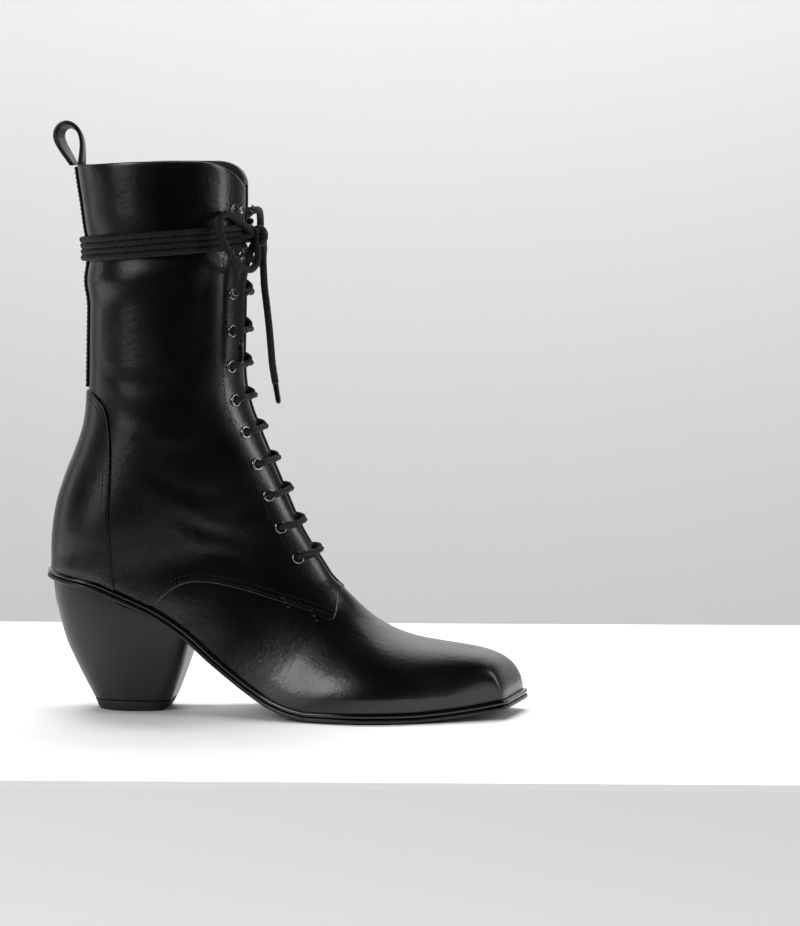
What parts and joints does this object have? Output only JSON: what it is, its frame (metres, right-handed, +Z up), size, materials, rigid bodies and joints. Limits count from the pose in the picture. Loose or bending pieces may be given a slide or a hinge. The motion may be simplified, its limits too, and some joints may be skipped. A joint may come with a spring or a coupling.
{
  "type": "heeled lace-up ankle boot",
  "caption": "Right heeled lace-up leather boot with a square toe, curved heel, inner zip, pull loop and a lace wound round the leg and tied in a bow.",
  "frame": {"origin": "on the floor, under the middle of the heel top piece", "axes": "+X forward to the toe, +Y to the inner side of the foot, +Z up"},
  "size_m": [0.2598, 0.0946, 0.3168],
  "materials": {
    "upper_leather": "polished black calf leather, fine grain",
    "tongue_leather": "soft black leather",
    "lining": "smooth dark lining leather",
    "bead_leather": "waxed leather bead, glossy",
    "sole_leather": "black-dyed leather sole, satin",
    "rubber": "matt black rubber",
    "heel_leather": "leather-covered block, satin",
    "strap_leather": "grained leather strap, satin lining side",
    "gunmetal": "dark gunmetal plating, polished",
    "lace": "round braided cotton lace, matt",
    "aglet": "black plastic film, glossy"
  },
  "bodies": {
    "boot": {"upper": "upper_leather", "tongue": "tongue_leather", "insole": "lining", "bead": "bead_leather", "outsole": "sole_leather", "forefoot_rubber": "rubber", "heel_block": "heel_leather", "heel_top_piece": "rubber", "counter": "upper_leather", "back_strap": "strap_leather", "pull_loop": "strap_leather", "zip_placket_front": "upper_leather", "zip_placket_back": "upper_leather", "zip_chain": "gunmetal", "zip_slider": "gunmetal", "lace_wraps": "lace", "eyelet_outer_1": "gunmetal", "eyelet_outer_2": "gunmetal", "eyelet_outer_3": "gunmetal", "eyelet_outer_4": "gunmetal", "eyelet_outer_5": "gunmetal", "eyelet_outer_6": "gunmetal", "eyelet_outer_7": "gunmetal", "eyelet_outer_8": "gunmetal", "eyelet_inner_1": "gunmetal", "eyelet_inner_2": "gunmetal", "eyelet_inner_3": "gunmetal", "eyelet_inner_4": "gunmetal", "eyelet_inner_5": "gunmetal", "eyelet_inner_6": "gunmetal", "eyelet_inner_7": "gunmetal", "eyelet_inner_8": "gunmetal", "hook_outer_1": "gunmetal", "hook_outer_2": "gunmetal", "hook_outer_3": "gunmetal", "hook_inner_1": "gunmetal", "hook_inner_2": "gunmetal", "hook_inner_3": "gunmetal", "lace_crossing_1": "lace", "lace_crossing_2": "lace", "lace_crossing_3": "lace", "lace_crossing_4": "lace", "lace_crossing_5": "lace", "lace_crossing_6": "lace", "lace_crossing_7": "lace", "lace_crossing_8": "lace", "lace_crossing_9": "lace", "lace_knot": "lace", "lace_loop_near": "lace", "lace_loop_far": "lace", "lace_end_near": "lace", "lace_end_far": "lace", "aglet_near": "aglet", "aglet_far": "aglet"},
    "zip_pull": {"zip_pull": "gunmetal"}
  },
  "joints": [
    {"name": "zip_pull_hinge", "type": "hinge", "parent": "boot", "child": "zip_pull", "pos_m": [0.02488, 0.04417, 0.28617], "axis": [1, 0, 0], "range_deg": [0, 150]}
  ]
}
